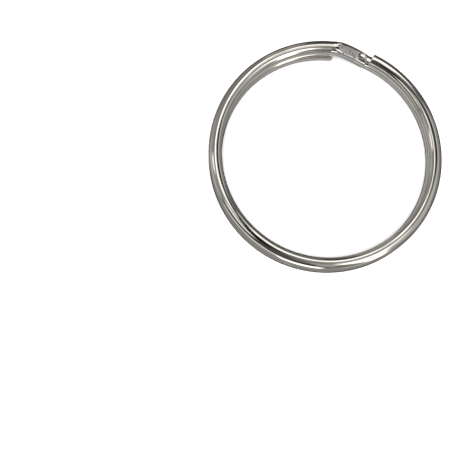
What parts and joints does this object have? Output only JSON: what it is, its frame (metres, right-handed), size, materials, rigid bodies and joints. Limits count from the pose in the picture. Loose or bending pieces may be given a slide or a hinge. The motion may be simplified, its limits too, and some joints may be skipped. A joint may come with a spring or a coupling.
{
  "type": "split key ring",
  "caption": "Split key ring of bright plated spring wire, coiled in two flat turns with a stepped crossover, that opens at either cut end to take keys",
  "frame": {"origin": "the ring's centre, halfway through its thickness", "axes": "+Z is the ring's axis, out of the turn that ends clockwise of the crossover as seen from above; +Y points at the middle of the crossover; +X completes the right-handed set"},
  "size_m": [0.03, 0.03, 0.0034],
  "materials": {
    "nickel_plate": "bright nickel plating over spring steel, with fine draw lines along the wire and rubbed marks at the crossover"
  },
  "bodies": {
    "coil": {"crossover": "nickel_plate", "upper_turn_root": "nickel_plate", "lower_turn_root": "nickel_plate"},
    "upper_span_1": {"upper_turn_span_1": "nickel_plate"},
    "upper_span_2": {"upper_turn_span_2": "nickel_plate"},
    "upper_span_3": {"upper_turn_span_3": "nickel_plate"},
    "upper_span_4": {"upper_turn_span_4": "nickel_plate"},
    "upper_span_5": {"upper_turn_span_5": "nickel_plate"},
    "upper_span_6": {"upper_turn_span_6": "nickel_plate"},
    "upper_free_end": {"upper_turn_free_end": "nickel_plate"},
    "lower_span_1": {"lower_turn_span_1": "nickel_plate"},
    "lower_span_2": {"lower_turn_span_2": "nickel_plate"},
    "lower_span_3": {"lower_turn_span_3": "nickel_plate"},
    "lower_span_4": {"lower_turn_span_4": "nickel_plate"},
    "lower_span_5": {"lower_turn_span_5": "nickel_plate"},
    "lower_span_6": {"lower_turn_span_6": "nickel_plate"},
    "lower_free_end": {"lower_turn_free_end": "nickel_plate"}
  },
  "joints": [
    {"name": "upper_flex_1", "type": "hinge", "parent": "coil", "child": "upper_span_1", "pos_m": [-0.01125, 0.00858, 0.00003], "axis": [-0.601, -0.7993, 0], "range_deg": [0, 0.4584]},
    {"name": "upper_flex_2", "type": "hinge", "parent": "upper_span_1", "child": "upper_span_2", "pos_m": [-0.01409, -0.00126, 0.00003], "axis": [0.5222, -0.8528, 0], "range_deg": [0, 1.18]},
    {"name": "upper_flex_3", "type": "hinge", "parent": "upper_span_2", "child": "upper_span_3", "pos_m": [-0.00955, -0.01044, 0.00003], "axis": [0.8497, -0.5272, 0], "range_deg": [0, 1.56]},
    {"name": "upper_turn_pry", "type": "hinge", "parent": "upper_span_3", "child": "upper_span_4", "pos_m": [0, -0.01415, 0.00167], "axis": [0.9983, -0.0582, 0], "range_deg": [0, 1.62], "stiffness_Nm_per_rad": 0.05, "springref_deg": -0.57},
    {"name": "upper_flex_5", "type": "hinge", "parent": "upper_span_4", "child": "upper_span_5", "pos_m": [0.00948, -0.01047, 0.00167], "axis": [0.9093, 0.4162, 0], "range_deg": [0, 1.4]},
    {"name": "upper_flex_6", "type": "hinge", "parent": "upper_span_5", "child": "upper_span_6", "pos_m": [0.01399, -0.00136, 0.00167], "axis": [0.6499, 0.76, 0], "range_deg": [0, 0.9299]},
    {"name": "upper_flex_7", "type": "hinge", "parent": "upper_span_6", "child": "upper_free_end", "pos_m": [0.01117, 0.00842, 0.00167], "axis": [0.372, 0.9282, 0], "range_deg": [0, 0.4252]},
    {"name": "lower_flex_1", "type": "hinge", "parent": "coil", "child": "lower_span_1", "pos_m": [0.01125, 0.00858, -0.00003], "axis": [0.601, -0.7993, 0], "range_deg": [0, 0.4584]},
    {"name": "lower_flex_2", "type": "hinge", "parent": "lower_span_1", "child": "lower_span_2", "pos_m": [0.01409, -0.00126, -0.00003], "axis": [-0.5222, -0.8528, 0], "range_deg": [0, 1.18]},
    {"name": "lower_flex_3", "type": "hinge", "parent": "lower_span_2", "child": "lower_span_3", "pos_m": [0.00955, -0.01044, -0.00003], "axis": [-0.8497, -0.5272, 0], "range_deg": [0, 1.56]},
    {"name": "lower_turn_pry", "type": "hinge", "parent": "lower_span_3", "child": "lower_span_4", "pos_m": [0, -0.01415, -0.00167], "axis": [-0.9983, -0.0582, 0], "range_deg": [0, 1.62], "stiffness_Nm_per_rad": 0.05, "springref_deg": -0.57},
    {"name": "lower_flex_5", "type": "hinge", "parent": "lower_span_4", "child": "lower_span_5", "pos_m": [-0.00948, -0.01047, -0.00167], "axis": [-0.9093, 0.4162, 0], "range_deg": [0, 1.4]},
    {"name": "lower_flex_6", "type": "hinge", "parent": "lower_span_5", "child": "lower_span_6", "pos_m": [-0.01399, -0.00136, -0.00167], "axis": [-0.6499, 0.76, 0], "range_deg": [0, 0.9299]},
    {"name": "lower_flex_7", "type": "hinge", "parent": "lower_span_6", "child": "lower_free_end", "pos_m": [-0.01117, 0.00842, -0.00167], "axis": [-0.372, 0.9282, 0], "range_deg": [0, 0.4252]}
  ],
  "couplings": [
    {"joint": "upper_flex_1", "follows": "upper_turn_pry", "ratio": 0.27714},
    {"joint": "upper_flex_2", "follows": "upper_turn_pry", "ratio": 0.71039},
    {"joint": "upper_flex_3", "follows": "upper_turn_pry", "ratio": 0.94517},
    {"joint": "upper_flex_5", "follows": "upper_turn_pry", "ratio": 0.84898},
    {"joint": "upper_flex_6", "follows": "upper_turn_pry", "ratio": 0.56219},
    {"joint": "upper_flex_7", "follows": "upper_turn_pry", "ratio": 0.25706},
    {"joint": "lower_flex_1", "follows": "lower_turn_pry", "ratio": 0.27714},
    {"joint": "lower_flex_2", "follows": "lower_turn_pry", "ratio": 0.71039},
    {"joint": "lower_flex_3", "follows": "lower_turn_pry", "ratio": 0.94517},
    {"joint": "lower_flex_5", "follows": "lower_turn_pry", "ratio": 0.84898},
    {"joint": "lower_flex_6", "follows": "lower_turn_pry", "ratio": 0.56219},
    {"joint": "lower_flex_7", "follows": "lower_turn_pry", "ratio": 0.25706}
  ]
}
